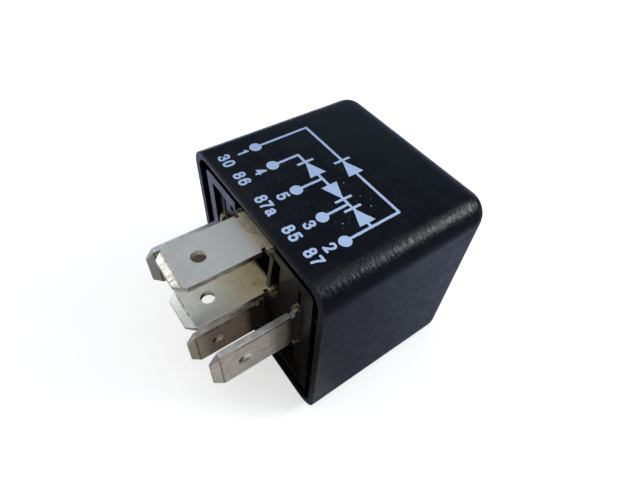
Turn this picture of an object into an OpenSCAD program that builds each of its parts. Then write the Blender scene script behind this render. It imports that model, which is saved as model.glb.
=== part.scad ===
// Plug-in diode module in a five-blade relay case.
// Millimetres. +Z up: the module lies on its plain long side with the printed
// side up, the blades point along -Y, and the origin is at the middle of the
// footprint on the surface that it lies on.

/* [Cover] */
// Width of the cover, across the blades
cover_w = 27.8; // [27.4:0.1:29]
// Height of the cover, from the resting side to the printed side
cover_h = 28.2; // [27.8:0.1:29.4]
// Length of the cover, from its open rim to its closed end
cover_l = 25; // [23:0.5:40]
// Wall thickness of the cover's sides
cover_wall = 1.05; // [0.9:0.05:1.2]
// Wall thickness of the cover's closed end
cover_end_wall = 1.2; // [1:0.1:2]
// Radius of the four long edges
cover_edge_r = 3.2; // [3:0.1:4]
// Radius of the edges around the closed end
cover_end_r = 2.8; // [2:0.1:2.9]

/* [Base] */
// Half width of the base's raised plateau
plateau_x = 11.6; // [11.4:0.05:11.8]
// Half height of the base's raised plateau
plateau_v = 11.5; // [11.4:0.05:11.7]
// How far the plateau's rim lies inside the cover's open rim
plateau_in = 0.3; // [0.2:0.05:0.5]
// Width of the raised rim along the printed and the resting side
rim_w = 1.4; // [1.3:0.05:1.8]
// Width of the raised rim along the two upright sides
rim_side_w = 1.35; // [1.3:0.05:1.6]
// How far the floor inside the rim lies inside the cover's open rim
floor_in = 0.9; // [0.7:0.05:1]
// Depth of the pockets in the floor, from the cover's open rim
pocket_in = 3.1; // [2:0.1:3.4]
// Where the flange that fits the cover begins
flange_in = 2.4; // [2:0.1:2.6]
// Inner face of the base, from the cover's open rim
base_in = 4.4; // [4.2:0.1:5]

/* [Terminals] */
// Width of a blade
blade_w = 6.3; // [6.2:0.05:6.4]
// Thickness of a blade
blade_t = 0.8; // [0.75:0.05:0.85]
// How far the blades stand out of the cover's rim
blade_out = 10.5; // [9:0.1:12]
// Length of the slanted corners at the tip
tip_corner_l = 1.2; // [0.8:0.1:1.5]
// Width of the slanted corners at the tip
tip_corner_w = 1.05; // [0.8:0.05:1.2]
// Length of the bevel on both faces at the tip
tip_bevel_l = 1.1; // [0.8:0.1:1.5]
// Length of that bevel on the flat blade by the printed side
tip_bevel_87_l = 0.85; // [0.8:0.05:1.2]
// Depth of the bevel on each face at the tip
tip_bevel_d = 0.24; // [0.15:0.01:0.3]
// Diameter of the detent hole in the flat blades
hole_d = 1.7; // [1.6:0.1:2]
// Distance of the hole or dimple from the tip
hole_from_tip = 4; // [3.5:0.1:4.5]
// Depth of the dimples in the upright blades
dimple_d = 0.28; // [0.2:0.02:0.3]
// Height of the flat blade by the printed side, from the cover's middle
blade_87_v = 10.3; // [10.2:0.1:10.4]
// Height of the flat blade at the middle, from the cover's middle
blade_87a_v = 2.3; // [2.2:0.1:2.4]
// Distance of the upright side blades from the middle
side_x = 8.5; // [8.4:0.05:8.6]
// Height of the upright side blades, from the cover's middle
side_v = 1.7; // [1.6:0.1:1.8]
// Height of the upright lower blade, from the cover's middle
blade_30_v = -7; // [-7.1:0.1:-6.9]

/* [Circuit board] */
// Half width of the board
board_x = 11.5; // [11.4:0.05:11.6]
// Half height of the board
board_v = 12.5; // [12.4:0.05:12.6]
// Thickness of the board
board_t = 1.6; // [1:0.1:1.6]
// Face of the board towards the base, from the cover's open rim
board_in = 9.4; // [9:0.1:12]
// Thickness of the copper
copper_t = 0.1; // [0.07:0.01:0.2]

/* [Diodes] */
// Diameter of a diode's body
diode_d = 2.7; // [2.4:0.1:2.8]
// Length of a diode's body
diode_l = 5.2; // [4.6:0.1:5.4]
// Diameter of a lead wire
lead_d = 0.8; // [0.7:0.05:0.85]
// Distance between a diode's two lead holes
lead_pitch = 9; // [8.8:0.1:9.2]

/* [Hidden] */
$fn = 64;

// The whole length runs from the blade tips to the closed end, centred on Y = 0.
rim_y = blade_out - (blade_out + cover_l) / 2;
in_x = cover_w / 2 - cover_wall;
in_v = cover_h / 2 - cover_wall;
in_r = cover_edge_r - cover_wall;
in_end = cover_l - cover_end_wall;
in_end_r = cover_end_r - 1;
// The base's flange fits the cover with this much room all round.
fit_gap = 0.1;
flange_x = in_x - fit_gap;
flange_v = in_v - fit_gap;
// Snap ridges on the flange, and the grooves for them in the cover.
snap_out = 0.35;
snap_half = 4;
// Ribs in the cover that stop the base, on the two upright walls.
stop_w = 1.1;
stop_out = 1.1;
stop_v = 8.6;
// Staked ears at the foot of each blade, and the nick above each ear.
ear_out = 0.9;
ear_top = -0.05;
nick_top = 0.45;
nick_d = 0.4;
slot_gap = 0.05;
// A dimple is the cap of a ball of this radius, as wide as the hole.
dimple_r = (pow(hole_d / 2, 2) + pow(dimple_d, 2)) / (2 * dimple_d);
shoulder_half = 4;
shoulder_l = 1;
stem_half = 2.4;
tail_half = 1.1;
tail_out = 1.4;
// Slanted bars between the two flat blades: half distance at both ends, and width.
bar_top = 3.5;
bar_foot = 2.2;
bar_w = 0.65;
bar_top_v = blade_87_v - blade_t / 2 - slot_gap;
bar_foot_v = blade_87a_v + 0.3;
board_out = board_in + board_t;
solder_face = board_out + copper_t;
// Diodes hang under the board, with this much room between body and board.
diode_h = -(board_in - diode_d / 2 - 0.25);
lead_bend_r = 0.9;
lead_out = 1.3;
pad_r = 1.1;
// Each diode: middle of its body (x, v) and the direction from cathode to anode.
diodes = [
    [[-5.2, 5.7], 90],
    [[-5.4, -1.6], 0],
    [[5.4, -1.6], 180],
    [[5.2, 5.7], 90]
];
// Terminals: place (x, v) and turn about the blade's own axis.
t87 = [[0, blade_87_v], 0];
t87a = [[0, blade_87a_v], 0];
t86 = [[-side_x, side_v], 90];
t85 = [[side_x, side_v], 90];
t30 = [[0, blade_30_v], 90];
terminals = [t87, t87a, t86, t85, t30];

function turn(p, a) = [p[0] * cos(a) - p[1] * sin(a), p[0] * sin(a) + p[1] * cos(a)];
function bar_at(v) = bar_foot + (bar_top - bar_foot) * (v - bar_foot_v) / (bar_top_v - bar_foot_v);
function bar_outline(i) = [[i * bar_top, bar_top_v], [i * (bar_top + bar_w), bar_top_v],
    [i * (bar_foot + bar_w), bar_foot_v], [i * bar_foot, bar_foot_v]];
function lead_hole(d, s) = d[0] + turn([s * lead_pitch / 2, 0], d[1]);
lead_holes = [for (d = diodes) for (s = [-1, 1]) lead_hole(d, s)];

// From the drawing frame (x across, v up from the cover's middle, h out of the
// open rim) to the part's own frame.
module placed() {
    translate([0, rim_y, cover_h / 2]) rotate([90, 0, 0]) children();
}

module at(t) {
    translate([t[0][0], t[0][1], 0]) rotate([0, 0, t[1]]) children();
}

// Box from its lowest to its highest corner.
module span(a, b) {
    translate(a) cube(b - a);
}

// Rounded rectangle of half sizes x and v.
module round_rect(x, v, r) {
    square([2 * (x - r), 2 * v], center = true);
    square([2 * x, 2 * (v - r)], center = true);
    for (i = [-1, 1], j = [-1, 1]) translate([i * (x - r), j * (v - r)]) circle(r);
}

// A quarter round bar along the edge of the closed end, between two corners.
module end_edge(len, r) {
    rotate([90, 0, 90]) translate([0, 0, -len / 2]) linear_extrude(len)
        intersection() {
            circle(r);
            translate([0, -r]) square([r, r]);
        }
}

// Rounded corner of the closed end: a quarter turn of the edge's profile.
module end_corner(r, re) {
    rotate_extrude(angle = 90) {
        square([r - re, re]);
        translate([r - re, re]) intersection() {
            circle(re);
            translate([0, -re]) square([re, re]);
        }
    }
}

// A block with four round long edges of radius r and a closed end, rounded by re,
// at h = -l, open side at h = top.
module case_block(x, v, l, r, re, top) {
    translate([0, 0, re - l]) linear_extrude(l - re + top) round_rect(x, v, r);
    translate([0, 0, -l]) linear_extrude(re) {
        square([2 * (x - r), 2 * (v - re)], center = true);
        square([2 * (x - re), 2 * (v - r)], center = true);
    }
    for (j = [0, 180]) rotate([0, 0, j]) {
        translate([0, v - re, re - l]) end_edge(2 * (x - r), re);
        translate([x - re, 0, re - l]) rotate([0, 0, -90]) end_edge(2 * (v - r), re);
    }
    translate([x - r, v - r, -l]) end_corner(r, re);
    translate([r - x, v - r, -l]) rotate([0, 0, 90]) end_corner(r, re);
    translate([r - x, r - v, -l]) rotate([0, 0, 180]) end_corner(r, re);
    translate([x - r, r - v, -l]) rotate([0, 0, 270]) end_corner(r, re);
}

module cover() {
    color("#1d1e20") placed() {
        difference() {
            case_block(cover_w / 2, cover_h / 2, cover_l, cover_edge_r, cover_end_r, 0);
            case_block(in_x, in_v, in_end, in_r, in_end_r, 1);
            // grooves for the base's snap ridges
            for (s = [-1, 1]) span([s * in_x - 0.45, -snap_half - 0.2, -flange_in - 1.55],
                                   [s * in_x + 0.45, snap_half + 0.2, -flange_in - 0.3]);
        }
        // ribs that the base's inner face stops against
        for (s = [-1, 1], j = [-1, 1])
            span([s > 0 ? in_x - stop_out : -in_x - 0.2, j * stop_v - stop_w / 2, -in_end + in_end_r],
                 [s > 0 ? in_x + 0.2 : -in_x + stop_out, j * stop_v + stop_w / 2, -base_in]);
    }
}

// Slot through the base for one blade, wide at the ears.
module blade_slot() {
    span([-blade_w / 2 - slot_gap, -blade_t / 2 - slot_gap, -base_in - 1],
         [blade_w / 2 + slot_gap, blade_t / 2 + slot_gap, 1]);
}

module base() {
    rx = plateau_x - rim_side_w;
    rv = plateau_v - rim_w;
    color("#232326") placed() difference() {
        union() {
            // flange that fits the cover
            translate([0, 0, -base_in]) linear_extrude(base_in - flange_in)
                round_rect(flange_x, flange_v, in_r - fit_gap);
            // plateau
            translate([0, 0, -flange_in]) linear_extrude(flange_in - plateau_in)
                round_rect(plateau_x, plateau_v, 0.7);
            // snap ridges
            for (s = [0, 180]) rotate([0, 0, s]) translate([flange_x, snap_half, 0])
                rotate([90, 0, 0]) linear_extrude(2 * snap_half)
                    polygon([[-0.3, -flange_in - 1.5], [0, -flange_in - 1.5],
                             [snap_out, -flange_in - 0.6], [snap_out, -flange_in - 0.4], [-0.3, -flange_in - 0.4]]);
            // centring ribs in the gap between plateau and cover
            for (i = [-1, 1], j = [-1, 1])
                span([i > 0 ? plateau_x - 0.3 : -plateau_x - 1, j * 7 - 0.25, -flange_in - 0.2],
                     [i > 0 ? plateau_x + 1 : -plateau_x + 0.3, j * 7 + 0.25, -0.7]);
        }
        // floor inside the rim, up to the two slanted bars between the flat blades
        translate([0, 0, -floor_in]) linear_extrude(5) difference() {
            round_rect(rx, rv, 0.4);
            for (i = [-1, 1]) polygon(bar_outline(i));
        }
        for (i = [-1, 1]) {
            // pockets beside the bars
            translate([0, 0, -pocket_in]) linear_extrude(5)
                polygon([[i * (bar_at(8.8) + bar_w + 0.05), 8.8], [i * 4.6, 8.8],
                         [i * 4.25, 4.1], [i * (bar_at(3.6) + bar_w + 0.05), 3.6]]);
            // keyways above the side blades
            span([i * side_x - 0.25, side_v + blade_w / 2 + ear_out + 0.1, -pocket_in],
                 [i * side_x + 0.25, side_v + blade_w / 2 + ear_out + 2.6, 1]);
            // small shallow pocket under the rim, on one side only
            if (i < 0) span([-7, 7.8, -2], [-6.2, 9.05, 1]);
            // lower pockets on both sides of the lower blade
            span([i > 0 ? 1.7 : -4.3, 0.4 - rv, -pocket_in], [i > 0 ? 4.3 : -1.7, -5.5, 1]);
            span([i > 0 ? 5.2 : -7.8, 0.4 - rv, -pocket_in], [i > 0 ? 7.8 : -5.2, -5.5, 1]);
        }
        // pocket between the two flat blades and the two bars
        translate([0, 0, -pocket_in]) linear_extrude(5)
            polygon([for (p = [[-1, 9.2], [1, 9.2], [1, 3.3], [-1, 3.3]]) [p[0] * (bar_at(p[1]) - 0.05), p[1]]]);
        // breaks in the rim for the blade by the printed side and for the lower blade
        translate([0, 0, -floor_in]) linear_extrude(5) difference() {
            translate([-4.35, rv - 0.35]) square([8.7, rim_w + 1.35]);
            for (i = [-1, 1]) polygon(bar_outline(i));
        }
        span([-4.35, blade_87_v + 0.5, -flange_in], [4.35, plateau_v + 1, 1]);
        span([-0.9, -plateau_v - 1, -floor_in], [0.9, 0.35 - rv, 1]);
        for (t = terminals) at(t) blade_slot();
    }
}

// Outline of a terminal in its own plane: width along x, h along y.
module terminal_outline() {
    b = blade_w / 2;
    e = b + ear_out;
    n = b - nick_d;
    right = [
        [tail_half, -solder_face - tail_out], [tail_half, -board_in], [stem_half, -board_in],
        [stem_half, -base_in - shoulder_l], [shoulder_half, -base_in - shoulder_l],
        [shoulder_half, -base_in], [b, -base_in], [b, -floor_in], [e, -floor_in],
        [e, ear_top - 0.45], [e - 0.35, ear_top], [n, ear_top], [n, nick_top], [b, nick_top],
        [b, blade_out - tip_corner_l], [b - tip_corner_w, blade_out]
    ];
    polygon(concat(right, [for (i = [len(right) - 1:-1:0]) [-right[i][0], right[i][1]]]));
}

// A stamped terminal: thickness along its own y, blade along h.
// hole 1 is a drilled detent hole, hole 2 a pressed dimple on both faces.
module terminal(hole, bevel_l = tip_bevel_l) {
    bevel_d = tip_bevel_d * bevel_l / tip_bevel_l;
    difference() {
        translate([0, blade_t / 2, 0]) rotate([90, 0, 0]) linear_extrude(blade_t) terminal_outline();
        // bevels on both faces at the tip
        for (s = [0, 180]) rotate([0, 0, s]) translate([-blade_w, 0, 0]) rotate([90, 0, 90])
            linear_extrude(2 * blade_w)
                polygon([[blade_t / 2, blade_out - bevel_l], [blade_t / 2 + 1, blade_out - bevel_l],
                         [blade_t / 2 + 1, blade_out + 1], [blade_t / 2 - bevel_d, blade_out + 1],
                         [blade_t / 2 - bevel_d, blade_out]]);
        if (hole == 1)
            translate([0, 0, blade_out - hole_from_tip]) rotate([90, 0, 0])
                cylinder(d = hole_d, h = 4, center = true);
        else for (s = [-1, 1])
            translate([0, s * (blade_t / 2 - dimple_d + dimple_r), blade_out - hole_from_tip]) sphere(dimple_r);
    }
}

module terminal_87() { color("#b9b6a6") placed() at(t87) terminal(1, tip_bevel_87_l); }
module terminal_87a() { color("#b4b09c") placed() at(t87a) terminal(1); }
module terminal_86() { color("#b4b09c") placed() at(t86) terminal(2); }
module terminal_85() { color("#b4b09c") placed() at(t85) terminal(2); }
module terminal_30() { color("#b4b09c") placed() at(t30) terminal(2); }

// Clearance openings for tails and leads, through everything along h.
module tail_slots(gap) {
    for (t = terminals) at(t)
        span([-tail_half - gap, -blade_t / 2 - gap, -board_out - 3], [tail_half + gap, blade_t / 2 + gap, 0]);
}

module lead_bores(r) {
    for (p = lead_holes) translate([p[0], p[1], -board_out - 3]) cylinder(r = r, h = 10);
}

module circuit_board() {
    color("#8a6a3c") placed() difference() {
        translate([0, 0, -board_out]) linear_extrude(board_t) square([2 * board_x, 2 * board_v], center = true);
        tail_slots(0.1);
        lead_bores(lead_d / 2 + 0.1);
    }
}

// A straight track between two points, with square ends.
module track(a, b, w) {
    d = b - a;
    translate(a) rotate(atan2(d[1], d[0])) translate([0, -w / 2]) square([norm(d), w]);
}

module copper_tracks() {
    h = lead_holes;
    color("#b87333") placed() difference() {
        translate([0, 0, -solder_face]) linear_extrude(copper_t) {
            for (t = terminals) translate(t[0]) circle(1.9);
            for (p = h) translate(p) circle(pad_r);
            track([h[1][0], 10.25], [h[7][0], 10.25], 1.7);
            track(t86[0], h[2], 1.5);
            track(t85[0], h[4], 1.5);
            track(h[6], t85[0], 1.5);
            track(t87a[0], h[3], 1.3);
            track(t87a[0], h[5], 1.3);
            track(h[0], [h[0][0], -7], 1.5);
            track([h[0][0] - 0.75, -7], t30[0], 1.6);
        }
        tail_slots(0.1);
        lead_bores(lead_d / 2 + 0.1);
    }
}

module diode_body(d) {
    color("#2a2a2c") placed() translate([d[0][0], d[0][1], diode_h]) rotate([0, 0, d[1]]) rotate([0, 90, 0])
        rotate_extrude() polygon([[0, -diode_l / 2], [diode_d / 2 - 0.3, -diode_l / 2],
            [diode_d / 2, -diode_l / 2 + 0.3], [diode_d / 2, diode_l / 2 - 0.3],
            [diode_d / 2 - 0.3, diode_l / 2], [0, diode_l / 2]]);
}

// One lead: out of the body's end along s, a round bend, then through the board.
module diode_lead(d, s) {
    r = lead_d / 2;
    run = lead_pitch / 2 - lead_bend_r - diode_l / 2;
    drop = solder_face + lead_out + diode_h - lead_bend_r;
    color("#c9cacb") placed() translate([d[0][0], d[0][1], diode_h]) rotate([0, 0, d[1] + (s > 0 ? 0 : 180)]) {
        translate([diode_l / 2, 0, 0]) rotate([0, 90, 0]) cylinder(r = r, h = run);
        translate([lead_pitch / 2 - lead_bend_r, 0, -lead_bend_r]) rotate([90, 0, 0])
            rotate_extrude(angle = 90) translate([lead_bend_r, 0]) circle(r);
        translate([lead_pitch / 2, 0, -lead_bend_r - drop]) cylinder(r = r, h = drop);
    }
}

module diode_1_body() { diode_body(diodes[0]); }
module diode_1_anode_lead() { diode_lead(diodes[0], 1); }
module diode_1_cathode_lead() { diode_lead(diodes[0], -1); }
module diode_2_body() { diode_body(diodes[1]); }
module diode_2_anode_lead() { diode_lead(diodes[1], 1); }
module diode_2_cathode_lead() { diode_lead(diodes[1], -1); }
module diode_3_body() { diode_body(diodes[2]); }
module diode_3_anode_lead() { diode_lead(diodes[2], 1); }
module diode_3_cathode_lead() { diode_lead(diodes[2], -1); }
module diode_4_body() { diode_body(diodes[3]); }
module diode_4_anode_lead() { diode_lead(diodes[3], 1); }
module diode_4_cathode_lead() { diode_lead(diodes[3], -1); }

module terminal_solder() {
    color("#d4d5d6") placed() for (t = terminals) at(t) difference() {
        translate([0, 0, -solder_face - 1.1]) cylinder(r1 = 1.3, r2 = 1.8, h = 1.1);
        span([-tail_half, -blade_t / 2, -solder_face - 3], [tail_half, blade_t / 2, 0]);
    }
}

module diode_solder() {
    color("#d4d5d6") placed() for (p = lead_holes) translate([p[0], p[1], -solder_face - 1]) difference() {
        cylinder(r1 = 0.55, r2 = 0.85, h = 1);
        translate([0, 0, -1]) cylinder(d = lead_d, h = 3);
    }
}

cover();
base();
terminal_87();
terminal_87a();
terminal_86();
terminal_85();
terminal_30();
circuit_board();
copper_tracks();
diode_1_body();
diode_1_anode_lead();
diode_1_cathode_lead();
diode_2_body();
diode_2_anode_lead();
diode_2_cathode_lead();
diode_3_body();
diode_3_anode_lead();
diode_3_cathode_lead();
diode_4_body();
diode_4_anode_lead();
diode_4_cathode_lead();
terminal_solder();
diode_solder();
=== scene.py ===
import math

import bmesh
import bpy
import numpy as np
from mathutils import Matrix, Vector


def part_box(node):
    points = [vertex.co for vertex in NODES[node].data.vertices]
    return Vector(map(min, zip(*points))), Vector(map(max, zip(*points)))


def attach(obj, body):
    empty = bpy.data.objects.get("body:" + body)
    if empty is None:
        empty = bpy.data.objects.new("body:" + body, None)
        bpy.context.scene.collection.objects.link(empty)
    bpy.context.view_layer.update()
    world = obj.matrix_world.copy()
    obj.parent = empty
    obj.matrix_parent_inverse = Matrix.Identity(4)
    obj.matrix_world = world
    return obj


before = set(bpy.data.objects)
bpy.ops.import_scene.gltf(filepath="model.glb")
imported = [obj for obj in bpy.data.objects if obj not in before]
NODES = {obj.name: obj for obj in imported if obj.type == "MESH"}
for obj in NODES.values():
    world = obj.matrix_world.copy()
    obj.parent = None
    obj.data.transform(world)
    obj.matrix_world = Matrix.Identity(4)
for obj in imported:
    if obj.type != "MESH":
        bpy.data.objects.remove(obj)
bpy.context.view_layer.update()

MM = 0.001
RIM_Y = -7.25          # the cover's open rim, mm
TOP_Z = 28.2           # the printed face, mm
EAR = 0.9              # how far a blade's ears stand out past its sides, mm
TIP_Y = -17.75         # the blades' tips, mm
LEAD_IN = 1.1          # length of the coined lead-in at a blade's tip, mm
LEAD_IN_87 = 0.85      # the same on the blade by the printed face

scene = bpy.context.scene
scene.view_settings.view_transform = "Standard"
scene.view_settings.look = "None"

# ---------------------------------------------------------------- camera

cam_data = bpy.data.cameras.new("camera")
cam_data.sensor_fit = "HORIZONTAL"
cam_data.sensor_width = 36.0
cam_data.lens = 25.294681
cam_data.clip_start = 0.001
cam_data.clip_end = 50.0
cam = bpy.data.objects.new("camera", cam_data)
scene.collection.objects.link(cam)
right = Vector((0.585478279, 0.808079110, 0.064987206))
up = Vector((-0.640593722, 0.412018030, 0.647982119))
back = Vector((0.496844914, -0.421009851, 0.758878012))
spot = Vector((30.393607, -22.785521, 63.250992)) * MM
cam.matrix_world = Matrix((
    (right.x, up.x, back.x, spot.x),
    (right.y, up.y, back.y, spot.y),
    (right.z, up.z, back.z, spot.z),
    (0, 0, 0, 1)))
scene.camera = cam

# ---------------------------------------------------------------- light


def softbox(name, direction, distance, size, radiance, colour, aim=(0, 0, 14)):
    """A rectangular area light that looks at a point; radiance is what a mirror would show."""
    lamp = bpy.data.lights.new(name, "AREA")
    lamp.shape = "RECTANGLE"
    lamp.size, lamp.size_y = size
    lamp.energy = radiance * math.pi * size[0] * size[1]
    lamp.color = colour
    ob = bpy.data.objects.new(name, lamp)
    scene.collection.objects.link(ob)
    aim = Vector(aim) * MM
    d = Vector(direction).normalized()
    ob.location = aim + d * distance
    ob.rotation_euler = d.to_track_quat("Z", "Y").to_euler()
    return ob


softbox("key_left", (-0.70, -0.22, 0.68), 0.42, (0.11, 0.11), 3.3, (1.0, 0.97, 0.88))
softbox("fill_left", (-0.70, -0.42, 0.42), 0.55, (0.62, 0.62), 0.42, (1.0, 0.92, 0.72))
softbox("sheet_left", (-0.60, 0.14, 0.785), 0.50, (0.14, 0.12), 0.80, (0.98, 1.0, 1.0))
softbox("sky_back_left", (-0.52, 0.74, 0.44), 0.60, (0.50, 0.26), 0.27, (0.56, 0.75, 1.0))
softbox("overhead", (0.15, -0.15, 1.0), 0.60, (0.80, 0.80), 0.85, (0.97, 0.98, 1.0))
softbox("front_right", (0.55, -0.80, 0.24), 0.50, (0.30, 0.30), 0.9, (1.0, 0.93, 0.80))
softbox("window_back_right", (0.48, 0.62, 0.62), 0.42, (0.28, 0.20), 2.2, (0.72, 0.83, 1.0))
softbox("edge_back_right", (0.48, 0.70, 0.50), 0.40, (0.13, 0.08), 13.0, (0.95, 1.0, 0.90))

world = bpy.data.worlds.new("studio")
scene.world = world
world.use_nodes = True
wt = world.node_tree
wt.nodes.clear()
w_out = wt.nodes.new("ShaderNodeOutputWorld")
w_bg = wt.nodes.new("ShaderNodeBackground")
w_bg.inputs["Color"].default_value = (0.62, 0.80, 1.0, 1)
w_bg.inputs["Strength"].default_value = 0.17
wt.links.new(w_bg.outputs[0], w_out.inputs["Surface"])

# ---------------------------------------------------------------- node helpers


class Shader:
    """A Principled material with short calls for its nodes."""

    def __init__(self, name, **sockets):
        self.mat = bpy.data.materials.new(name)
        self.mat.use_nodes = True
        self.tree = self.mat.node_tree
        self.tree.nodes.clear()
        self.out = self.tree.nodes.new("ShaderNodeOutputMaterial")
        self.bsdf = self.tree.nodes.new("ShaderNodeBsdfPrincipled")
        self.tree.links.new(self.bsdf.outputs[0], self.out.inputs["Surface"])
        self.coord = self.tree.nodes.new("ShaderNodeTexCoord")
        self.obj = self.coord.outputs["Object"]
        self.nrm = self.coord.outputs["Normal"]
        for k, v in sockets.items():
            self.bsdf.inputs[k.replace("_", " ")].default_value = v

    def put(self, socket, value):
        """Links a node's output to an input, or sets the input."""
        if isinstance(value, bpy.types.NodeSocket):
            self.tree.links.new(value, socket)
        else:
            socket.default_value = value

    def node(self, kind, **props):
        n = self.tree.nodes.new(kind)
        for k, v in props.items():
            setattr(n, k, v)
        return n

    def set(self, name, value):
        self.put(self.bsdf.inputs[name], value)

    def scaled(self, vector, xyz, shift=(0, 0, 0)):
        n = self.node("ShaderNodeMapping")
        self.put(n.inputs["Vector"], vector)
        n.inputs["Scale"].default_value = xyz
        n.inputs["Location"].default_value = shift
        return n.outputs[0]

    def noise(self, size_mm, detail=2.0, rough=0.5, distort=0.0, vector=None, w=None):
        n = self.node("ShaderNodeTexNoise")
        if w is not None:
            n.noise_dimensions = "4D"
            n.inputs["W"].default_value = w
        self.put(n.inputs["Vector"], vector if vector is not None else self.obj)
        n.inputs["Scale"].default_value = 1.0 / (size_mm * MM)
        n.inputs["Detail"].default_value = detail
        n.inputs["Roughness"].default_value = rough
        n.inputs["Distortion"].default_value = distort
        return n.outputs["Fac"]

    def cells(self, size_mm, vector=None, feature="F1", out="Distance", jitter=1.0):
        n = self.node("ShaderNodeTexVoronoi", feature=feature)
        self.put(n.inputs["Vector"], vector if vector is not None else self.obj)
        n.inputs["Scale"].default_value = 1.0 / (size_mm * MM)
        n.inputs["Randomness"].default_value = jitter
        return n.outputs[out]

    def ramp(self, fac, *stops, kind="LINEAR"):
        n = self.node("ShaderNodeValToRGB")
        self.put(n.inputs[0], fac)
        n.color_ramp.interpolation = kind
        e = n.color_ramp.elements
        while len(e) < len(stops):
            e.new(0.5)
        for el, (at, c) in zip(e, stops):
            el.position = at
            el.color = (c, c, c, 1) if isinstance(c, (int, float)) else (*c, 1)
        return n.outputs[0]

    def remap(self, fac, a, b, c=0.0, d=1.0, smooth=True):
        n = self.node("ShaderNodeMapRange")
        n.interpolation_type = "SMOOTHSTEP" if smooth else "LINEAR"
        n.clamp = True
        self.put(n.inputs["Value"], fac)
        for name, v in zip(("From Min", "From Max", "To Min", "To Max"), (a, b, c, d)):
            n.inputs[name].default_value = v
        return n.outputs[0]

    def math(self, op, a, b=0.0, c=0.0, clamp=False):
        n = self.node("ShaderNodeMath", operation=op, use_clamp=clamp)
        for socket, v in zip(n.inputs, (a, b, c)):
            self.put(socket, v)
        return n.outputs[0]

    def mix(self, fac, a, b, blend="MIX"):
        n = self.node("ShaderNodeMix", data_type="RGBA", blend_type=blend)
        self.put(n.inputs[0], fac)
        for socket, v in ((n.inputs[6], a), (n.inputs[7], b)):
            self.put(socket, (*v, 1) if isinstance(v, tuple) else v)
        return n.outputs[2]

    def xyz(self, vector):
        n = self.node("ShaderNodeSeparateXYZ")
        self.put(n.inputs[0], vector)
        return n.outputs

    def bump(self, height, depth_mm, strength=1.0, normal=None):
        n = self.node("ShaderNodeBump")
        self.put(n.inputs["Height"], height)
        n.inputs["Distance"].default_value = depth_mm * MM
        n.inputs["Strength"].default_value = strength
        if normal is not None:
            self.put(n.inputs["Normal"], normal)
        return n.outputs[0]


# ---------------------------------------------------------------- materials


def cover_plastic():
    s = Shader("cover_plastic", IOR=1.46, Specular_IOR_Level=0.30)
    nx, ny, nz = s.xyz(s.nrm)
    grain = s.noise(0.30, 2.0, 0.55)
    coarse = s.noise(0.62, 3.0, 0.6)
    mott = s.noise(2.4, 3.0, 0.55)
    broad = s.noise(11.0, 2.0, 0.5)
    c = s.mix(s.ramp(mott, (0.32, 0.0), (0.68, 1.0)), (0.0030, 0.0035, 0.0062), (0.0048, 0.0055, 0.0092))
    c = s.mix(s.ramp(broad, (0.35, 0.0), (0.7, 0.5)), c, (0.0058, 0.0064, 0.0100))
    dust = s.cells(1.7)
    dust = s.math("MULTIPLY", s.remap(dust, 0.055, 0.030), s.remap(s.noise(3.0, 1.0, 0.5, w=2.0), 0.50, 0.60))
    c = s.mix(dust, c, (0.065, 0.070, 0.072))
    # fine spatter of ink around the diode signs
    px, py, pz = s.xyz(s.obj)
    spray = s.math("MULTIPLY", s.remap(s.cells(0.62), 0.15, 0.07), s.remap(s.noise(2.4, 1.0, 0.5, w=6.0), 0.40, 0.52))
    spray = s.math("MULTIPLY", spray, s.math("MULTIPLY", s.remap(s.math("ABSOLUTE", px), 0.0095, 0.0075), s.remap(nz, 0.98, 0.995)))
    spray = s.math("MULTIPLY", spray, s.math("MULTIPLY", s.remap(py, -0.0035, -0.0010), s.remap(py, 0.0095, 0.0070)))
    c = s.mix(spray, c, (0.070, 0.086, 0.118))
    # the mouth's edge over the upper flat blade is painted brown in patches
    mouth = s.math("MULTIPLY", s.remap(py, -0.0066, -0.0072), s.remap(s.math("ABSOLUTE", px), 0.0047, 0.0041))
    mouth = s.math("MULTIPLY", mouth, s.math("MULTIPLY", s.remap(pz, 0.0264, 0.0268), s.remap(pz, 0.0277, 0.0272)))
    c = s.mix(s.math("MULTIPLY", mouth, s.remap(coarse, 0.35, 0.62, 0.3, 1.0)), c, (0.11, 0.088, 0.05))
    s.set("Base Color", c)
    r = s.math("ADD", s.remap(mott, 0.3, 0.7, 0.31, 0.39), s.remap(coarse, 0.3, 0.7, -0.05, 0.06))
    # the mouth's rim is duller, most of all its outer half on the printed side
    rim = s.remap(ny, -0.85, -0.95)
    r = s.math("ADD", r, s.math("MULTIPLY", rim, s.remap(pz, 0.0276, 0.0279, 0.12, 0.42)))
    # the printed face is a little smoother than the sides
    r = s.math("SUBTRACT", r, s.remap(nz, 0.93, 0.995, 0.0, 0.13))
    # on the rounded long edges the grain is drawn out across the edge, and rubbed smoother
    drawn = s.noise(0.36, 2.0, 0.6, 0.0, s.scaled(s.obj, (0.42, 1.0, 0.42)))
    edge = s.math("MULTIPLY", s.math("ABSOLUTE", nx), s.math("ABSOLUTE", nz))
    edge = s.math("MULTIPLY", edge, s.remap(nz, 0.40, 0.72))
    r = s.math("SUBTRACT", r, s.remap(edge, 0.15, 0.38, 0.0, 0.08))
    s.set("Roughness", r)
    n = s.bump(coarse, 0.018, 0.7)
    n = s.bump(grain, 0.020, 0.8, n)
    s.set("Normal", s.bump(s.math("MULTIPLY", drawn, s.remap(edge, 0.05, 0.35)), 0.085, 1.0, n))
    return s.mat


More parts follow.
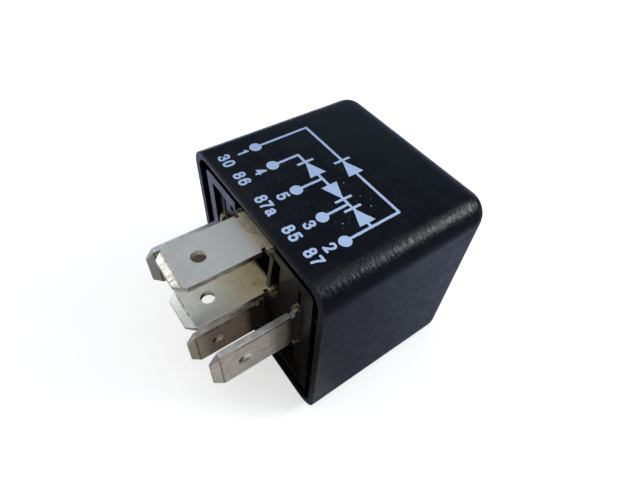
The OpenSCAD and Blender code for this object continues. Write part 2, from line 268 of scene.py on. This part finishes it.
def base_plastic():
    s = Shader("base_plastic", IOR=1.5, Specular_IOR_Level=0.27)
    grain = s.noise(0.12, 3.0, 0.6)
    flow = s.noise(1.5, 3.0, 0.6, 0.6)
    c = s.mix(s.ramp(flow, (0.3, 0.0), (0.7, 1.0)), (0.0030, 0.0027, 0.0027), (0.0060, 0.0053, 0.0050))
    s.set("Base Color", c)
    s.set("Roughness", s.remap(flow, 0.3, 0.7, 0.26, 0.36))
    s.set("Normal", s.bump(grain, 0.006, 0.8, s.bump(flow, 0.02, 0.5)))
    return s.mat


def terminal_metal(name, plated_axis, bright, dull, edges, polish, root=None, centre_z=None, tip=None, tooled=0.012,
                   lead=LEAD_IN, painted_root_shade=(-8.9, -7.3)):
    """Tin over brass; the stamped edges, which don't face plated_axis, show bare brass."""
    s = Shader(name, Metallic=polish, Specular_IOR_Level=0.5)
    px, py, pz = s.xyz(s.obj)
    normal = s.xyz(s.nrm)
    face = s.math("ABSOLUTE", normal[plated_axis])
    aside = s.math("ABSOLUTE", s.math("SUBTRACT", pz, centre_z * MM) if centre_z else px)
    blotch = s.noise(1.5, 2.0, 0.5, 0.5)
    cloud = s.noise(0.55, 1.0, 0.5)
    lines = s.noise(0.55, 1.0, 0.5, 0.0, s.scaled(s.obj, (1.0, 0.12, 1.0)))
    lead_in = s.math("MULTIPLY", s.remap(s.math("ABSOLUTE", normal[1]), 0.10, 0.19), s.remap(face, 0.8, 0.9))
    c = s.mix(s.ramp(blotch, (0.35, 0.0), (0.68, 1.0)), bright, dull)
    c = s.mix(s.ramp(cloud, (0.45, 0.0), (0.75, 0.5)), c, tuple(0.94 * v for v in dull))
    r = s.math("ADD", s.remap(blotch, 0.3, 0.75, 0.23, 0.29), s.remap(cloud, 0.4, 0.75, 0.0, 0.03))
    r = s.math("SUBTRACT", r, s.math("MULTIPLY", lead_in, 0.07))
    patchy = s.remap(s.noise(0.9, 2.0, 0.6), 0.36, 0.56, 0.25, 0.9)
    # a few rusty specks
    speck = s.math("MULTIPLY", s.remap(s.cells(1.2), 0.095, 0.05), s.remap(s.noise(2.6, 1.0, 0.5, w=5.0), 0.43, 0.53))
    c = s.mix(s.math("MULTIPLY", speck, 0.6), c, (0.24, 0.16, 0.10))
    if root:
        # towards the cover's mouth the flat blades are duller (rougher, less metallic) and paler, painted light; near
        # the mouth a band of painted warm bounce light, golden inside it
        (start, end, left, pale), (warm_start, warm_end, warm) = root
        depth = s.remap(py, start * MM, end * MM)
        c = s.mix(depth, c, pale)
        darker_tone = tuple(k * v for k, v in zip((0.56, 0.54, 0.48), warm))
        warm = s.mix(s.remap(cloud, 0.4, 0.7, 0.0, 0.5), warm, tuple(0.72 * v for v in warm))
        warm = s.mix(s.remap(s.noise(1.2, 3.0, 0.6, 0.5, w=7.0), 0.50, 0.66, 0.0, 0.6), warm, darker_tone)
        c = s.mix(s.remap(py, warm_start * MM, warm_end * MM), c, warm)
        c = s.mix(s.remap(py, -0.0067, -0.0063), c, (0.78, 0.64, 0.44))
        r = s.math("ADD", r, s.math("MULTIPLY", depth, 0.22))
        s.set("Metallic", s.remap(py, start * MM, end * MM, polish, left))
        at = TIP_Y + lead
        # painted shade: a dark line along the crease of the lead-in, broken up in patches
        crease = s.math("MULTIPLY", s.remap(py, (at - 0.21) * MM, (at - 0.09) * MM), s.remap(py, (at + 0.07) * MM, (at - 0.03) * MM))
        # painted reflection: the lead-in gets a paler, cooler tone that tints its highlight
        if tip:
            c = s.mix(s.remap(py, (at + 0.02) * MM, (at - 0.06) * MM), c, tip)
        c = s.mix(s.math("MULTIPLY", crease, patchy), c, (0.22, 0.19, 0.15))
    else:
        # long scratches, and painted shade: a dark line under the upper edge and along the crease of the lead-in,
        # darkening towards the root
        c = s.mix(s.remap(lines, 0.54, 0.70, 0.0, 0.40), c, tuple(0.66 * v for v in dull))
        # painted light: towards the tip the colour is paler and less metallic, so the tip looks more lit
        if tip:
            near = s.remap(py, -0.0143, -0.0168)
            c = s.mix(near, c, tip)
        sheen = s.remap(py, -0.0143, -0.0168, polish, 0.25 if tip else polish)
        s.set("Metallic", s.math("MINIMUM", sheen, s.remap(py, -0.0098, -0.0082, polish, 0.15)))
        # painted shade on one side of the dimple and a painted highlight on the other
        for y, dz, reach, amount, tint in ((-14.17, -0.15, 0.46, 0.95, (0.045, 0.042, 0.025)),
                                           (-13.35, 0.06, 0.64, 0.92, (0.99, 0.96, 0.90))):
            off = s.math("POWER", s.math("SUBTRACT", py, y * MM), 2.0)
            off = s.math("ADD", off, s.math("POWER", s.math("SUBTRACT", pz, (centre_z + dz) * MM), 2.0))
            c = s.mix(s.remap(s.math("SQRT", off), reach * MM, 0.4 * reach * MM, 0.0, amount), c, tint)
        # painted shade: a dark line just under the upper edge and along the lead-in's crease, in patches
        top = s.math("SUBTRACT", pz, (centre_z + 3.15) * MM)
        darker_tone = s.math("MULTIPLY", s.remap(top, -0.00062, -0.00036), s.remap(top, -0.00008, -0.00030))
        crease = s.math("MULTIPLY", s.remap(py, -0.01680, -0.01668), s.remap(py, -0.01648, -0.01660))
        c = s.mix(s.math("MULTIPLY", s.math("MAXIMUM", darker_tone, crease), patchy), c, (0.16, 0.105, 0.07))
        # painted shade: the face darkens almost to black towards the root
        c = s.mix(s.remap(py, painted_root_shade[0] * MM, painted_root_shade[1] * MM, 0.0, 0.96), c, (0.022, 0.019, 0.016))
    # ears brown, mottled dark and light
    ear = s.remap(aside, 0.00318, 0.00335, 0.0, 0.92)
    brown = s.mix(s.remap(s.noise(0.42, 1.0, 0.5, w=3.0), 0.46, 0.62), (0.07, 0.052, 0.024), (0.36, 0.30, 0.19))
    c = s.mix(ear, c, brown)
    shear = s.noise(0.50, 1.0, 0.5, 0.0, s.scaled(s.obj, (1.0, 0.40, 1.0)))
    edge = s.mix(s.ramp(shear, (0.35, 0.0), (0.65, 1.0)), *edges)
    # painted shade: the stamped edges darken towards the root
    if root:
        edge = s.mix(s.remap(py, -0.0114, -0.0090), edge, (0.07, 0.055, 0.03))
    else:
        edge = s.mix(s.remap(py, -0.0125, -0.0085, 0.0, 0.75), edge, tuple(0.45 * v for v in edges[0]))
        edge = s.mix(s.math("MULTIPLY", ear, s.remap(py, -0.0102, -0.0098)), edge, brown)
    c = s.mix(s.remap(face, 0.35, 0.75), edge, c)
    s.set("Base Color", c)
    s.set("Roughness", r)
    # the coined lead-in at the tip keeps the streaks of the tool
    streak = s.noise(0.50, 1.0, 0.5, 0.0, s.scaled(s.obj, (1.0, 0.06, 1.0)))
    n = s.bump(s.noise(1.5, 0.0, 0.5, 0.3), 0.010, 0.25)
    at = TIP_Y + lead
    streak = s.math("MULTIPLY", s.math("SUBTRACT", streak, 0.5), s.remap(py, (at + 0.05) * MM, (at - 0.35) * MM))
    s.set("Normal", s.bump(streak, tooled, 0.7, n))
    return s.mat


def print_ink():
    s = Shader("print_ink", Roughness=0.5, Specular_IOR_Level=0.35)
    uneven = s.noise(0.35, 3.0, 0.6)
    across = s.xyz(s.obj)[0]
    thin = s.mix(s.ramp(uneven, (0.3, 0.0), (0.7, 1.0)), (0.36, 0.475, 0.735), (0.42, 0.545, 0.82))
    full = s.mix(s.ramp(uneven, (0.3, 0.0), (0.7, 1.0)), (0.46, 0.60, 0.875), (0.53, 0.675, 0.96))
    # painted light: the print is paler and brighter towards +x; thin and full are its dim and bright ends
    c = s.mix(s.remap(across, -0.010, 0.010, smooth=False), thin, full)
    s.set("Base Color", c)
    s.set("Normal", s.bump(uneven, 0.006, 0.6))
    return s.mat


def board_laminate():
    s = Shader("board_laminate", Specular_IOR_Level=0.4)
    fibre = s.noise(0.35, 4.0, 0.65, 0.4, s.scaled(s.obj, (1.0, 1.0, 0.25)))
    c = s.mix(s.ramp(fibre, (0.3, 0.0), (0.7, 1.0)), (0.30, 0.17, 0.06), (0.47, 0.30, 0.13))
    s.set("Base Color", c)
    s.set("Roughness", s.remap(fibre, 0.3, 0.7, 0.42, 0.6))
    s.set("Normal", s.bump(fibre, 0.01, 0.6))
    return s.mat


def copper_foil():
    s = Shader("copper_foil", Metallic=1.0)
    darker_tone = s.noise(1.2, 4.0, 0.6, 0.6)
    c = s.mix(s.ramp(darker_tone, (0.3, 0.0), (0.7, 1.0)), (0.74, 0.40, 0.24), (0.52, 0.26, 0.15))
    s.set("Base Color", c)
    s.set("Roughness", s.remap(darker_tone, 0.3, 0.7, 0.28, 0.48))
    s.set("Normal", s.bump(s.noise(0.15, 3.0, 0.6), 0.004, 0.6))
    return s.mat


def diode_epoxy(name, axis, from_low):
    """Black epoxy with the pale cathode band near one end of the body."""
    s = Shader(name, Specular_IOR_Level=0.5)
    grain = s.noise(0.10, 3.0, 0.6)
    along = s.xyz(s.coord.outputs["Generated"])[axis]
    a, b = (0.14, 0.28) if from_low else (0.72, 0.86)
    ragged = s.math("ADD", along, s.remap(s.noise(0.25), 0.3, 0.7, -0.012, 0.012))
    band = s.math("MULTIPLY", s.remap(ragged, a - 0.01, a + 0.01), s.remap(ragged, b + 0.01, b - 0.01))
    c = s.mix(s.ramp(grain, (0.3, 0.0), (0.7, 1.0)), (0.010, 0.010, 0.011), (0.022, 0.021, 0.021))
    pale = s.mix(s.ramp(grain, (0.3, 0.0), (0.7, 1.0)), (0.52, 0.53, 0.54), (0.66, 0.66, 0.66))
    s.set("Base Color", s.mix(band, c, pale))
    s.set("Roughness", s.remap(grain, 0.3, 0.7, 0.35, 0.55))
    s.set("Normal", s.bump(grain, 0.006, 0.7))
    return s.mat


def tinned_wire():
    s = Shader("tinned_wire", Metallic=1.0)
    drawn = s.noise(0.3, 3.0, 0.6, 0.5)
    c = s.mix(s.ramp(drawn, (0.3, 0.0), (0.7, 1.0)), (0.66, 0.66, 0.66), (0.50, 0.50, 0.49))
    s.set("Base Color", c)
    s.set("Roughness", s.remap(drawn, 0.3, 0.7, 0.2, 0.36))
    s.set("Normal", s.bump(drawn, 0.006, 0.5))
    return s.mat


def solder_metal():
    s = Shader("solder_metal", Metallic=1.0)
    frost = s.noise(0.4, 4.0, 0.6, 0.8)
    c = s.mix(s.ramp(frost, (0.35, 0.0), (0.7, 1.0)), (0.70, 0.70, 0.71), (0.52, 0.52, 0.53))
    s.set("Base Color", c)
    s.set("Roughness", s.remap(frost, 0.3, 0.7, 0.16, 0.42))
    s.set("Normal", s.bump(frost, 0.02, 0.5))
    return s.mat


def wear(node, material):
    """Gives a CAD node its material."""
    ob = NODES[node]
    ob.data.materials.clear()
    ob.data.materials.append(material)


def sharp_line(y_mm):
    """Geometry nodes that keep the edges at one y sharp."""
    tree = bpy.data.node_groups.new("sharp_line", "GeometryNodeTree")
    for way in ("INPUT", "OUTPUT"):
        tree.interface.new_socket("Geometry", in_out=way, socket_type="NodeSocketGeometry")
    start, end = tree.nodes.new("NodeGroupInput"), tree.nodes.new("NodeGroupOutput")
    split = tree.nodes.new("ShaderNodeSeparateXYZ")
    there = tree.nodes.new("FunctionNodeCompare")
    there.data_type, there.operation = "FLOAT", "EQUAL"
    there.inputs["B"].default_value = y_mm * MM
    there.inputs["Epsilon"].default_value = 0.00003
    mark = tree.nodes.new("GeometryNodeSetShadeSmooth")
    mark.domain = "EDGE"
    mark.inputs["Shade Smooth"].default_value = False
    link = tree.links.new
    link(tree.nodes.new("GeometryNodeInputPosition").outputs[0], split.inputs[0])
    link(split.outputs[1], there.inputs["A"])
    link(start.outputs[0], mark.inputs["Geometry"])
    link(there.outputs[0], mark.inputs["Selection"])
    link(mark.outputs[0], end.inputs[0])
    return tree


def soften(node, width_mm, segments=2, above=30.0, crease=None):
    """Rounds a CAD node's sharp edges by modifiers, so that they catch light as moulded or stamped ones do."""
    ob = NODES[node]
    m = ob.modifiers.new("join", "WELD")
    m.merge_threshold = 2e-6
    m = ob.modifiers.new("planes", "DECIMATE")
    m.decimate_type = "DISSOLVE"
    m.angle_limit = math.radians(0.3)
    m = ob.modifiers.new("edges", "BEVEL")
    m.width = width_mm * MM
    m.segments = segments
    m.limit_method = "ANGLE"
    m.angle_limit = math.radians(above)
    m.use_clamp_overlap = True
    m.miter_outer = "MITER_ARC"
    if crease is not None:
        m = ob.modifiers.new("crease", "NODES")
        m.node_group = sharp_line(crease)
    m = ob.modifiers.new("shading", "WEIGHTED_NORMAL")
    m.mode = "FACE_AREA"
    m.weight = 50
    m.keep_sharp = True


wear("cover", cover_plastic())
soften("cover", 0.07, 3)
wear("base", base_plastic())
FLAT_EDGES = ((0.48, 0.42, 0.32), (0.80, 0.74, 0.62))
SIDE_EDGES = ((0.46, 0.43, 0.39), (0.70, 0.67, 0.63))
# painted reflection: terminal_86's edges get a cool, bluish tone
COOL_EDGES = ((0.48, 0.50, 0.54), (0.66, 0.69, 0.75))
# The blades are one tin; their tones are set blade by blade, partly tarnish and partly painted light and shade for how
# each is lit, paler on blades that get less light.
wear("terminal_87", terminal_metal("terminal_tin_87", 2, (0.515, 0.52, 0.52), (0.465, 0.465, 0.445), FLAT_EDGES, 0.72,
                                   root=((-17.2, -9.6, 0.48, (0.64, 0.64, 0.635)), (-8.4, -7.6, (0.74, 0.67, 0.52))),
                                   tooled=0.036, lead=LEAD_IN_87))
wear("terminal_87a", terminal_metal("terminal_tin_87a", 2, (0.69, 0.685, 0.65), (0.635, 0.62, 0.555), FLAT_EDGES, 0.62,
                                    root=((-15.4, -9.0, 0.44, (0.80, 0.77, 0.64)), (-13.0, -8.2, (0.85, 0.755, 0.49))),
                                    tip=(0.70, 0.72, 0.735), tooled=0.008))
for n, bright, dull, edges, polish, tip, painted_root_shade in (
        ("terminal_86", (0.80, 0.73, 0.65), (0.66, 0.60, 0.52), COOL_EDGES, 0.66, (0.74, 0.69, 0.61), (-8.9, -7.3)),
        ("terminal_85", (0.75, 0.67, 0.575), (0.61, 0.535, 0.44), SIDE_EDGES, 0.74, None, (-9.7, -7.5)),
        ("terminal_30", (0.86, 0.66, 0.53), (0.72, 0.54, 0.42), SIDE_EDGES, 0.55, (0.90, 0.80, 0.60), (-10.0, -8.4))):
    wear(n, terminal_metal(n.replace("terminal", "terminal_tin"), 0, bright, dull, edges, polish,
                           centre_z=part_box(n)[1].z / MM - EAR - 3.15, tip=tip, painted_root_shade=painted_root_shade))
for n in ("terminal_87", "terminal_87a", "terminal_86", "terminal_85", "terminal_30"):
    soften(n, 0.06, 2, 38.0, TIP_Y + (LEAD_IN_87 if n == "terminal_87" else LEAD_IN))
wear("circuit_board", board_laminate())
wear("copper_tracks", copper_foil())
wire = tinned_wire()
for i in (1, 2, 3, 4):
    low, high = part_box(f"diode_{i}_body")
    size = high - low
    axis = max(range(3), key=lambda k: size[k])
    lead_low, lead_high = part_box(f"diode_{i}_cathode_lead")
    from_low = (lead_low + lead_high)[axis] < (low + high)[axis]
    wear(f"diode_{i}_body", diode_epoxy(f"diode_epoxy_{i}", axis, from_low))
    wear(f"diode_{i}_anode_lead", wire)
    wear(f"diode_{i}_cathode_lead", wire)
tin = solder_metal()
wear("terminal_solder", tin)
wear("diode_solder", tin)

# ---------------------------------------------------------------- print on the top face


class Stencil:
    """Flat shapes as a signed distance field on a grid (mm), turned into one closed thin mesh."""

    def __init__(self, x0, x1, y0, y1, step):
        self.step = step
        self.xs = np.arange(x0, x1 + step, step)
        self.ys = np.arange(y0, y1 + step, step)
        self.f = np.full((len(self.ys), len(self.xs)), 9.0)

    def window(self, x0, x1, y0, y1, pad=0.6):
        i0, i1 = np.searchsorted(self.xs, (x0 - pad, x1 + pad))
        j0, j1 = np.searchsorted(self.ys, (y0 - pad, y1 + pad))
        gx, gy = np.meshgrid(self.xs[i0:i1], self.ys[j0:j1])
        return (slice(j0, j1), slice(i0, i1)), gx, gy

    def join(self, where, d):
        self.f[where] = np.minimum(self.f[where], d)

    def stroke(self, pts, width):
        """A line of that width through the points, with round ends."""
        p = np.array(pts, float)
        for a, b in zip(p[:-1], p[1:]):
            lo, hi = np.minimum(a, b), np.maximum(a, b)
            where, gx, gy = self.window(lo[0], hi[0], lo[1], hi[1])
            d = b - a
            t = np.clip(((gx - a[0]) * d[0] + (gy - a[1]) * d[1]) / max(d @ d, 1e-9), 0, 1)
            self.join(where, np.hypot(gx - a[0] - t * d[0], gy - a[1] - t * d[1]) - width / 2)

    def bar(self, x0, x1, y0, y1, r=0.06):
        where, gx, gy = self.window(x0, x1, y0, y1)
        qx = np.abs(gx - (x0 + x1) / 2) - (x1 - x0) / 2 + r
        qy = np.abs(gy - (y0 + y1) / 2) - (y1 - y0) / 2 + r
        d = np.hypot(np.maximum(qx, 0), np.maximum(qy, 0)) + np.minimum(np.maximum(qx, qy), 0) - r
        self.join(where, d)

    def dot(self, x, y, r):
        where, gx, gy = self.window(x - r, x + r, y - r, y + r)
        self.join(where, np.hypot(gx - x, gy - y) - r)

    def triangle(self, a, b, c, r=0.05):
        """Convex, corners counter-clockwise, slightly rounded."""
        p = np.array((a, b, c), float)
        lo, hi = p.min(0), p.max(0)
        where, gx, gy = self.window(lo[0], hi[0], lo[1], hi[1])
        d = np.full(gx.shape, -9.0)
        for u, v in zip(p, np.roll(p, -1, 0)):
            e = (v - u) / np.linalg.norm(v - u)
            d = np.maximum(d, (gx - u[0]) * e[1] - (gy - u[1]) * e[0])
        self.join(where, d)

    def fray(self, amount, size, seed):
        """Wavy ink edges: smooth noise added to the field."""
        rng = np.random.RandomState(seed)
        for amp, wave in ((amount, size), (amount * 0.7, size * 0.45)):
            n = max(2, int(wave / self.step))
            small = rng.uniform(-1, 1, (len(self.ys) // n + 3, len(self.xs) // n + 3))
            jy, ix = np.arange(len(self.ys)) / n, np.arange(len(self.xs)) / n
            j, i = jy.astype(int), ix.astype(int)
            ty, tx = jy - j, ix - i
            ty, tx = (ty * ty * (3 - 2 * ty))[:, None], (tx * tx * (3 - 2 * tx))[None, :]
            g = lambda dj, di: small[np.ix_(j + dj, i + di)]
            self.f += amp * ((g(0, 0) * (1 - tx) + g(0, 1) * tx) * (1 - ty) + (g(1, 0) * (1 - tx) + g(1, 1) * tx) * ty)

    def mesh(self, name, z_low, z_high):
        """The field's inside as a closed plate; x stays, y is measured from the cover's rim."""
        f = self.f
        tiny = 0.08 * self.step
        f = np.where(np.abs(f) < tiny, np.where(f < 0, -tiny, tiny), f)
        inside = f < 0
        verts, index, faces = [], {}, []

        def vert(key, x, y):
            if key not in index:
                index[key] = len(verts)
                verts.append((x * MM, (y + RIM_Y) * MM))
            return index[key]

        cell = inside[:-1, :-1] | inside[1:, :-1] | inside[:-1, 1:] | inside[1:, 1:]
        polys, walls = [], []
        for j, i in zip(*np.nonzero(cell)):
            ring = ((j, i), (j, i + 1), (j + 1, i + 1), (j + 1, i))
            loop = []
            for k in range(4):
                (ja, ia), (jb, ib) = ring[k], ring[(k + 1) % 4]
                if inside[ja, ia]:
                    loop.append((vert((ja, ia), self.xs[ia], self.ys[ja]), False))
                if inside[ja, ia] != inside[jb, ib]:
                    fa, fb = f[ja, ia], f[jb, ib]
                    t = fa / (fa - fb)
                    key = ("e", min((ja, ia), (jb, ib)), max((ja, ia), (jb, ib)))
                    x = self.xs[ia] + t * (self.xs[ib] - self.xs[ia])
                    y = self.ys[ja] + t * (self.ys[jb] - self.ys[ja])
                    loop.append((vert(key, x, y), True))
            polys.append([v for v, _ in loop])
            for (v, e), (w, g) in zip(loop, loop[1:] + loop[:1]):
                if e and g:
                    walls.append((v, w))
        count = len(verts)
        co = [(x, y, z_high * MM) for x, y in verts] + [(x, y, z_low * MM) for x, y in verts]
        faces = [tuple(p) for p in polys] + [tuple(v + count for v in reversed(p)) for p in polys]
        faces += [(w, v, v + count, w + count) for v, w in walls]
        me = bpy.data.meshes.new(name)
        me.from_pydata(co, [], faces)
        me.validate()
        me.update()
        ob = bpy.data.objects.new(name, me)
        scene.collection.objects.link(ob)
        return ob


def curve(pts, n=8):
    """A smooth line through the points (Catmull-Rom)."""
    p = [np.array(q, float) for q in pts]
    p = [2 * p[0] - p[1]] + p + [2 * p[-1] - p[-2]]
    out = []
    for a, b, c, d in zip(p, p[1:], p[2:], p[3:]):
        for k in range(n):
            t = k / n
            out.append(0.5 * (2 * b + (c - a) * t + (2 * a - 5 * b + 4 * c - d) * t * t + (3 * b - a - 3 * c + d) * t ** 3))
    return [tuple(q) for q in out + [p[-2]]]


def ring(cx, cy, rx, ry, power=2.3, n=40):
    pts = []
    for k in range(n + 1):
        a = 2 * math.pi * k / n
        c, s_ = math.cos(a), math.sin(a)
        pts.append((cx + rx * math.copysign(abs(c) ** (2 / power), c), cy + ry * math.copysign(abs(s_) ** (2 / power), s_)))
    return pts


# Each figure is a list of centre lines in a box one wide and one high.
FIGURES = {
    "0": [ring(0.5, 0.5, 0.5, 0.5, 2.5)],
    "1": [[(0.30, 0.80), (0.62, 1.0), (0.62, 0.0)]],
    "2": [curve([(0.02, 0.74), (0.14, 0.93), (0.50, 1.0), (0.86, 0.92), (0.97, 0.72), (0.84, 0.47), (0.45, 0.22), (0.06, 0.0)]), [(0.06, 0.0), (1.0, 0.0)]],
    "3": [curve([(0.03, 0.78), (0.16, 0.95), (0.48, 1.0), (0.82, 0.93), (0.92, 0.76), (0.80, 0.58), (0.42, 0.53)]),
          curve([(0.42, 0.53), (0.84, 0.48), (0.99, 0.28), (0.86, 0.07), (0.48, 0.0), (0.14, 0.06), (0.0, 0.23)])],
    "4": [[(0.74, 0.0), (0.74, 1.0), (0.0, 0.30), (1.0, 0.30)]],
    "5": [[(0.92, 1.0), (0.18, 1.0), (0.10, 0.50)],
          curve([(0.10, 0.50), (0.28, 0.61), (0.56, 0.64), (0.88, 0.53), (0.99, 0.31), (0.86, 0.08), (0.48, 0.0), (0.14, 0.06), (0.0, 0.22)])],
    "6": [ring(0.5, 0.31, 0.49, 0.31, 2.3), curve([(0.01, 0.33), (0.04, 0.62), (0.18, 0.88), (0.46, 1.0), (0.76, 0.97), (0.93, 0.82)])],
    "7": [[(0.0, 1.0), (1.0, 1.0)], curve([(1.0, 1.0), (0.64, 0.60), (0.40, 0.25), (0.32, 0.0)])],
    "8": [ring(0.5, 0.77, 0.42, 0.235, 2.3), ring(0.5, 0.27, 0.49, 0.27, 2.3)],
    "a": [curve([(0.06, 0.58), (0.20, 0.70), (0.48, 0.74), (0.76, 0.68), (0.84, 0.52)]), [(0.84, 0.52), (0.84, 0.16), (0.96, 0.0)],
          curve([(0.84, 0.42), (0.50, 0.38), (0.12, 0.30), (0.02, 0.17), (0.12, 0.03), (0.40, 0.0), (0.70, 0.08), (0.84, 0.22)])],
}


def figures(st, text, cx, cy, height=1.54, width=0.98, pitch=1.23, pen=0.30):
    n = len(text)
    for k, ch in enumerate(text):
        x0 = cx + (k - (n - 1) / 2) * pitch - width / 2 + pen / 2
        y0 = cy - height / 2 + pen / 2
        for line in FIGURES[ch]:
            st.stroke([(x0 + u * (width - pen), y0 + v * (height - pen)) for u, v in line], pen)


diagram = Stencil(-10.6, 10.6, 4.9, 15.5, 0.05)
LINE = 0.34
for x in (-9.0, -5.0, 0.0, 5.0, 9.0):
    diagram.dot(x, 6.0, 0.75)
diagram.stroke([(-9.0, 6.0), (-9.1, 13.65), (8.9, 13.65), (9.0, 6.0)], LINE)
diagram.stroke([(-5.0, 6.0), (-5.05, 9.65), (8.9, 9.65)], LINE)
diagram.stroke([(0.0, 6.0), (0.0, 9.65)], LINE)
diagram.stroke([(5.0, 6.0), (4.9, 9.65)], LINE)
for bar_x, base_x, y in ((-1.40, 1.40, 13.62), (-3.50, -0.80, 9.65), (4.00, 1.25, 9.65), (5.67, 8.30, 9.65)):
    diagram.bar(bar_x - 0.17, bar_x + 0.17, y - 1.17, y + 1.17)
    tip, foot = (bar_x, y), ((base_x, y - 1.10), (base_x, y + 1.10))
    if base_x > bar_x:
        diagram.triangle(tip, foot[0], foot[1])
    else:
        diagram.triangle(tip, foot[1], foot[0])
for x, y, r in ((1.9, 11.3, 0.06), (4.6, 11.6, 0.055), (6.5, 11.6, 0.07), (3.6, 7.9, 0.055), (6.9, 7.3, 0.06)):
    diagram.dot(x, y, r)
diagram.fray(0.022, 0.30, 11)

legend = Stencil(-10.6, 10.6, 0.4, 5.4, 0.04)
for text, x, y in (("1", -8.9, 4.2), ("4", -4.8, 4.2), ("5", 0.0, 4.2), ("3", 5.15, 4.2), ("2", 8.8, 4.2),
                   ("30", -8.55, 1.80), ("86", -4.88, 1.80), ("87a", 0.25, 1.92), ("85", 5.1, 2.0), ("87", 8.9, 2.1)):
    figures(legend, text, x, y, pitch=1.14 if len(text) == 3 else 1.23)
legend.fray(0.018, 0.25, 23)

ink = print_ink()
for st, name in ((diagram, "printed_diagram"), (legend, "printed_figures")):
    ob = st.mesh(name, TOP_Z - 0.004, TOP_Z + 0.016)
    ob.data.materials.append(ink)
    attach(ob, "root")

# ---------------------------------------------------------------- floor

def plane(name, z_mm, material):
    mesh = bpy.data.meshes.new(name)
    mesh.from_pydata([(-3, -3, 0), (3, -3, 0), (3, 3, 0), (-3, 3, 0)], [], [(0, 1, 2, 3)])
    ob = bpy.data.objects.new(name, mesh)
    ob.data.materials.append(material)
    scene.collection.objects.link(ob)
    ob.location.z = z_mm * MM
    return ob


# White paper for the eye, lit a little from below, on a duller table that gives the bounce light; the table is painted
# with shadow and light in zones, which only reflections and bounce light see.
s = Shader("floor_paper", Roughness=0.8, Specular_IOR_Level=0.1)
fibre = s.noise(6.0, 3.0, 0.5)
s.set("Base Color", s.mix(s.ramp(fibre, (0.3, 0.0), (0.7, 1.0)), (0.84, 0.84, 0.84), (0.87, 0.87, 0.87)))
s.bsdf.inputs["Emission Color"].default_value = (1.0, 0.975, 0.955, 1.0)
s.bsdf.inputs["Emission Strength"].default_value = 0.50
paper = plane("floor", -0.02, s.mat)
paper.visible_glossy = False
paper.visible_diffuse = False
paper.visible_shadow = False

s = Shader("floor_table", Roughness=0.8, Specular_IOR_Level=0.1)
fibre = s.noise(9.0, 3.0, 0.5)
c = s.mix(s.ramp(fibre, (0.3, 0.0), (0.7, 1.0)), (0.46, 0.49, 0.58), (0.50, 0.53, 0.62))
tx, ty, tz = s.xyz(s.obj)
# painted shadow: a dark zone under the blades
under = s.math("MULTIPLY", s.remap(tx, -0.016, -0.008), s.remap(tx, 0.0125, 0.0095))
under = s.math("MULTIPLY", under, s.math("MULTIPLY", s.remap(ty, -0.030, -0.022), s.remap(ty, -0.003, -0.007)))
c = s.mix(under, c, (0.085, 0.07, 0.055))
# painted light and shade: bluish zones right of the case, lighter in front of it
aside = s.remap(tx, 0.0130, 0.0150)
far = s.mix(s.remap(ty, 0.002, 0.026, smooth=False), (0.33, 0.34, 0.42), (0.52, 0.55, 0.72))
c = s.mix(s.math("MULTIPLY", aside, s.remap(ty, -0.006, -0.001)), c, far)
c = s.mix(s.math("MULTIPLY", aside, s.remap(ty, -0.001, -0.006)), c, (0.66, 0.63, 0.61))
# painted shade: dark further out to the right and back
c = s.mix(s.math("MAXIMUM", s.remap(tx, 0.032, 0.060), s.remap(ty, 0.045, 0.080)), c, (0.10, 0.11, 0.13))
# painted light: a bright, glowing zone to the left
left = s.remap(tx, -0.016, -0.024)
c = s.mix(left, c, (0.90, 0.92, 1.0))
s.set("Base Color", c)
s.set("Emission Color", s.mix(left, (0.0, 0.0, 0.0), (0.20, 0.21, 0.48)))
s.bsdf.inputs["Emission Strength"].default_value = 1.0
table = plane("floor_under", -0.04, s.mat)
table.visible_camera = False
